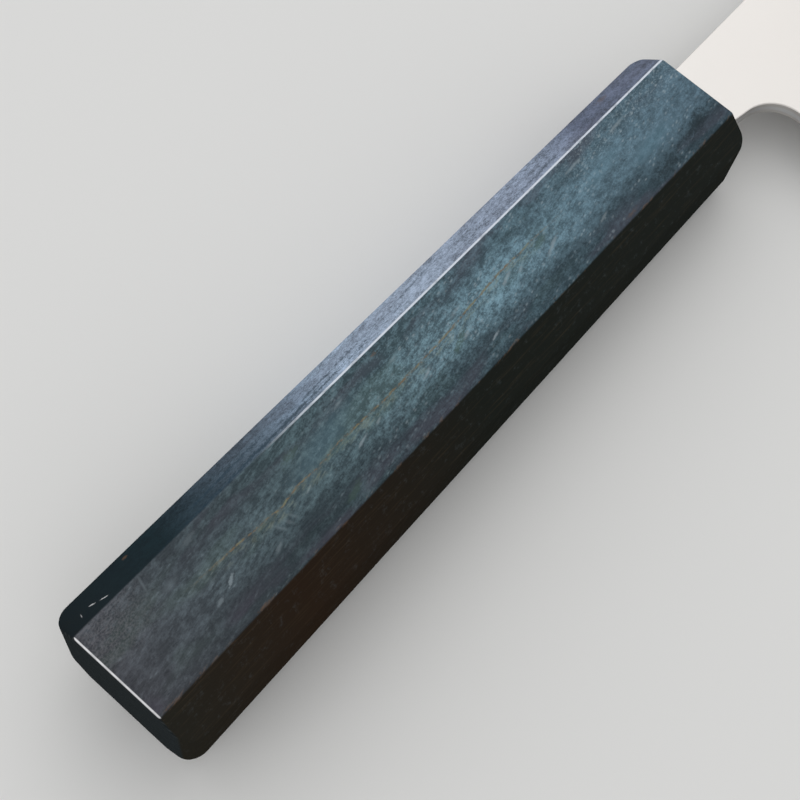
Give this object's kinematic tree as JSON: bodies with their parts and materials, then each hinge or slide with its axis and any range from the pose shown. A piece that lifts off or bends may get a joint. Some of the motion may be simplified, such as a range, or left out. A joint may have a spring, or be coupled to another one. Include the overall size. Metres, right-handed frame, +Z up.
{
  "type": "nakiri knife",
  "caption": "Square-ended vegetable knife: a laminated double-bevelled steel blade with a bare neck, its tang bedded in a tapered eight-sided handle of dyed wood.",
  "frame": {"origin": "centre of the knife's bounding box, on the table that it lies on", "axes": "+X from the butt to the tip, +Y towards the spine, +Z up, out of the knife's right side: the knife lies on its left side, on the handle's front end and the blade's tip"},
  "size_m": [0.3034, 0.0568, 0.0255],
  "materials": {
    "core_steel": "hard steel, polished bright along the edge",
    "cladding_steel": "softer stainless steel, fine satin grain across the blade",
    "handle_wood": "figured hardwood dyed teal blue, with brown showing through along the edge side, rubbed to a low sheen",
    "bedding_resin": "cured amber resin",
    "seal_resin": "dark resin, wiped flush"
  },
  "bodies": {
    "root": {"core_steel": "core_steel", "cladding_right": "cladding_steel", "cladding_left": "cladding_steel", "handle_body": "handle_wood", "tang_bedding": "bedding_resin", "mouth_seal": "seal_resin"}
  },
  "joints": []
}
